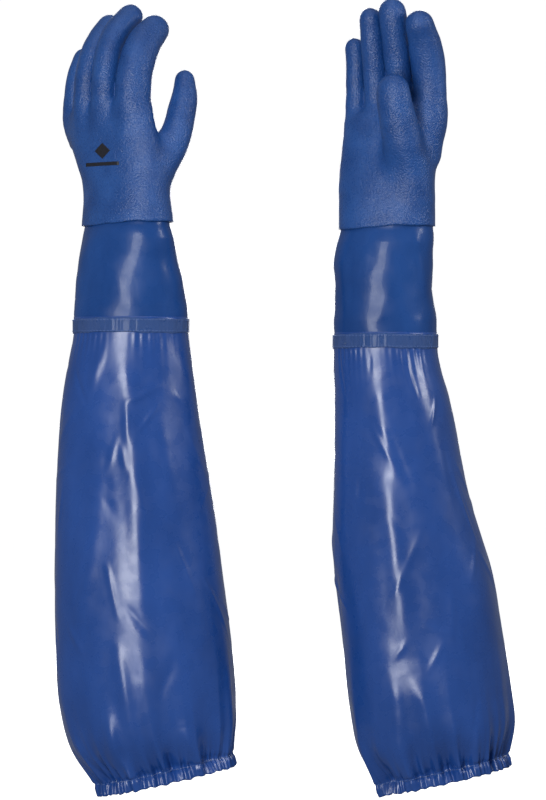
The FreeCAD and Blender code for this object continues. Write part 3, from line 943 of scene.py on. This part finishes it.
def knit_material():
    """The liner's plain white knit, in rows of small loops."""
    mat, tree, shader = new_material("white_knit")
    p = place_of(tree)
    across = {"Vector": p, "Scale": 240.0, "Distortion": 1.2}
    rows = add(tree, "ShaderNodeTexWave", across, bands_direction="Z")
    along = {"Vector": p, "Scale": 300.0, "Distortion": 0.8}
    ribs = add(tree, "ShaderNodeTexWave", along, bands_direction="X")
    loops = math_of(tree, "MULTIPLY", rows.outputs["Fac"], ribs.outputs["Fac"])
    colour = mix_colour(tree, loops, (0.42, 0.43, 0.44), (0.72, 0.72, 0.7))
    tree.links.new(colour, shader.inputs["Base Color"])
    tree.links.new(bump(tree, loops, 0.0004), shader.inputs["Normal"])
    fuzz = noise_of(tree, p, 700.0)
    tree.links.new(ramp(tree, fuzz, 0.3, 0.7, 0.8, 0.95), shader.inputs["Roughness"])
    return mat


def yarn_material(name, dark, light, scale, rough):
    """Twisted thread, woven elastic or ink: two tones in fine streaks."""
    mat, tree, shader = new_material(name)
    p = place_of(tree)
    streaks = noise_of(tree, p, scale, 3.0, 0.6)
    colour = mix_colour(tree, ramp(tree, streaks, 0.35, 0.65), dark, light)
    tree.links.new(colour, shader.inputs["Base Color"])
    tree.links.new(bump(tree, streaks, 0.0001, 0.6), shader.inputs["Normal"])
    tree.links.new(ramp(tree, streaks, 0.3, 0.7, rough * 0.85, rough), shader.inputs["Roughness"])
    return mat


MATERIALS = {
    "hand_coat": coat_material(),
    "cuff_pvc": film_material("glossy_navy_pvc", (0.009, 0.048, 0.195), (0.015, 0.066, 0.25), rough=0.3,
                              dents=0.0003, shine=0.2, gloss=0.12, gloss_rough=0.08),
    "sleeve_pvc": film_material("glossy_blue_film", (0.009, 0.052, 0.235), (0.015, 0.068, 0.29), rough=0.29,
                                dents=0.0002, shine=0.5, gloss=0.25, gloss_rough=0.2),
    "band_tape": tape_material(),
    "knit": knit_material(),
    "elastic": yarn_material("woven_elastic", (0.5, 0.5, 0.48), (0.72, 0.72, 0.7), 500.0, 0.8),
    "thread": yarn_material("blue_thread", (0.06, 0.12, 0.33), (0.12, 0.2, 0.46), 1500.0, 0.5),
    "ink": yarn_material("black_ink", (0.004, 0.004, 0.008), (0.012, 0.013, 0.02), 800.0, 0.6),
}


def finish_piece(obj, slot, nodes, body=None, blend=None):
    """Gives a piece the material for its slot, hides the CAD nodes it stands for and hangs it from the body
    it moves with. A piece with a blend span is only baked where it stands and hangs from no body; the span's
    bodies and places are not used.
    """
    obj.data.materials.append(MATERIALS[slot])
    if blend:
        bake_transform(obj)
    else:
        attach(obj, body)
    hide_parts(*nodes)
    return obj


# --- assembly --------------------------------------------------------------------------------------------

def build_hand(side, glove):
    hand = f"{side}_hand"
    sampled = sample_hand(glove)
    coat, points, quads = net_shell(f"{side}_hand_skin", glove, sampled, 0, 0.0, COAT)
    finish_piece(coat, "hand_coat", [f"{side}_palm_coat"], hand)
    liner = net_shell(f"{side}_palm_knit", glove, sampled, LINER_RISE, COAT + LINER_GAP, LINER)[0]
    finish_piece(liner, "knit", [f"{side}_palm_liner"], hand)
    mark = make_mark(glove, f"{side}_back_mark", points, quads)
    finish_piece(mark, "ink", [f"{side}_print_mark"], hand)
    layers = (("coat", "hand_coat", 0.12, COAT), ("liner", "knit", -COAT - LINER_GAP, LINER))
    for name in FINGERS:
        span = (hand, f"{side}_{name}", *blend_span(glove, name))
        for layer, slot, grow, thick in layers:
            grid = finger_grid(glove, name, grow)
            skin = shell(f"{side}_{name}_{layer}_skin", grid, thick, glove["shift"], tip=True)
            finish_piece(skin, slot, [f"{side}_{name}_{layer}"], blend=span)


def build_cuff(side, glove):
    x = (glove["cuff"][2][0] + glove["shift"][0]) * MM
    span = (f"{side}_sleeve", f"{side}_hand", (x, 0.0, (glove["band_top"] + 10) * MM),
            (x, 0.0, (glove["coat_edge"] - 8) * MM))
    for layer, slot, grow, thick in (("cuff", "cuff_pvc", 0.0, CUFF), ("cuff_liner", "knit", -1.4, LINER)):
        grid = cuff_grid(glove, grow)
        skin = shell(f"{side}_{layer}_skin", grid, thick, glove["shift"], uv=tube_uv(grid))
        finish_piece(skin, slot, [f"{side}_{layer}"], blend=span)


def build_sleeve(side, glove):
    body = f"{side}_sleeve"
    grid = sleeve_grid(glove)
    sleeve = shell(f"{side}_film_sleeve", grid, FILM, glove["shift"], uv=tube_uv(grid))
    finish_piece(sleeve, "sleeve_pvc", [f"{side}_sleeve"], body)
    elastic = shell(f"{side}_elastic_ring", hem_ring(glove, [0.6, 3.0, 6.0, 8.4], -0.6), 0.65, glove["shift"])
    finish_piece(elastic, "elastic", [f"{side}_hem_elastic"], body)
    grid = band_grid(glove)
    band = shell(f"{side}_tape_band", grid, 0.7, glove["shift"], uv=tube_uv(grid))
    finish_piece(band, "band_tape", [f"{side}_seam_band"], body)
    angles = np.linspace(0, TAU, BAND_COLUMNS, endpoint=False)
    for where, height in (("upper", 1.5), ("lower", 11.0)):
        base = tube_grid(straight_rows(glove, [height - 0.5, height, height + 0.5]), angles)
        ring = (base + outward(base) * 1.75)[1]
        row = make_stitches(f"{side}_{where}_band_stitches", ring, glove, 3.3, 2.7, 0.3, 31)
        finish_piece(row, "thread", [f"{side}_band_thread_{where}"], body)
    ring = hem_ring(glove, [9.0, 10.0, 11.0], 0.9)[1]
    row = make_stitches(f"{side}_hem_stitches", ring, glove, 3.8, 3.0, 0.3, 33)
    finish_piece(row, "thread", [f"{side}_hem_thread"], body)
    return sleeve, band


for side, glove in GLOVES.items():
    mount = next(m for m in frame["record"]["mounts"] if m["name"] == f"{side}_arm_opening")
    glove["shift"] = np.array([mount["pos_m"][0] / MM, 0.0, 0.0])
    build_hand(side, glove)
    build_cuff(side, glove)
    film, band = build_sleeve(side, glove)


# --- stage -----------------------------------------------------------------------------------------------

FLOOR_GLOW = 0.8


def round_sweep():
    """A pale floor that curves up into a pale wall all round, so that it looks the same from every side."""
    mat, tree, shader = new_material("pale_floor")
    tone = noise_of(tree, place_of(tree), 3.0)
    colour = mix_colour(tree, tone, (0.85, 0.85, 0.85), (0.88, 0.88, 0.88))
    tree.links.new(colour, shader.inputs["Base Color"])
    shader.inputs["Roughness"].default_value = 0.9
    shader.inputs["Emission Color"].default_value = (1, 1, 1, 1)
    shader.inputs["Emission Strength"].default_value = FLOOR_GLOW
    floor, wall, bend, top = (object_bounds()[0].z - 0.02) / MM, 9000.0, 2500.0, 9000.0
    line = [(0.5, floor), (2500.0, floor)]
    for n in range(13):
        a = math.radians(90 * n / 12)
        line.append((wall - bend + bend * math.sin(a), floor + bend - bend * math.cos(a)))
    line.append((wall, top))
    angles = np.linspace(0, TAU, 96, endpoint=False)
    points = [(r * math.cos(a), r * math.sin(a), z) for r, z in line for a in angles]
    index = np.arange(len(points)).reshape(len(line), -1)
    nxt = np.roll(index, -1, axis=1)
    faces = np.stack([index[:-1], nxt[:-1], nxt[1:], index[1:]], -1).reshape(-1, 4)
    obj = make_object("floor", points, faces)
    obj.data.materials.append(mat)
    obj.visible_glossy = False
    obj.visible_diffuse = False


def soft_light(name, place, target, size, power, tint=(1, 1, 1)):
    data = bpy.data.lights.new(name, "AREA")
    data.shape = "RECTANGLE"
    data.size, data.size_y = size
    data.energy = power
    data.color = tint
    obj = bpy.data.objects.new(name, data)
    bpy.context.scene.collection.objects.link(obj)
    obj.location = place
    obj.rotation_euler = (Vector(target) - Vector(place)).to_track_quat("-Z", "Y").to_euler()
    obj.visible_camera = False


round_sweep()
centre = Vector((0.0921, 0.0, 0.3333))
soft_light("key_strip", (-0.42, -1.7, 0.5), (0.05, 0, 0.3), (0.6, 1.3), 25)
soft_light("right_strip", (1.3, -0.55, 0.95), (0.15, 0, 0.55), (0.3, 0.4), 5)
soft_light("top_fill", (0.0, -0.6, 2.4), (0.1, 0, 0.3), (1.6, 1.6), 8)
soft_light("back_soft", (0.1, 2.2, 0.9), (0.1, 0, 0.3), (0.9, 1.4), 30)

world = bpy.data.worlds.new("studio")
world.use_nodes = True
world.node_tree.nodes["Background"].inputs["Color"].default_value = (0.9, 0.93, 1.0, 1)
world.node_tree.nodes["Background"].inputs["Strength"].default_value = 0.25
bpy.context.scene.world = world

DISTANCE = 3.4
FRAME_HEIGHT = 0.7016
camera = bpy.data.cameras.new("camera")
camera.sensor_fit = "VERTICAL"
camera.sensor_height = 24.0
camera.lens = 24.0 * DISTANCE / FRAME_HEIGHT
eye = bpy.data.objects.new("camera", camera)
bpy.context.scene.collection.objects.link(eye)
eye.location = centre + Vector((0, -DISTANCE, 0))
eye.rotation_euler = (math.radians(90), 0, 0)
bpy.context.scene.camera = eye
bpy.context.scene.view_settings.view_transform = "Standard"
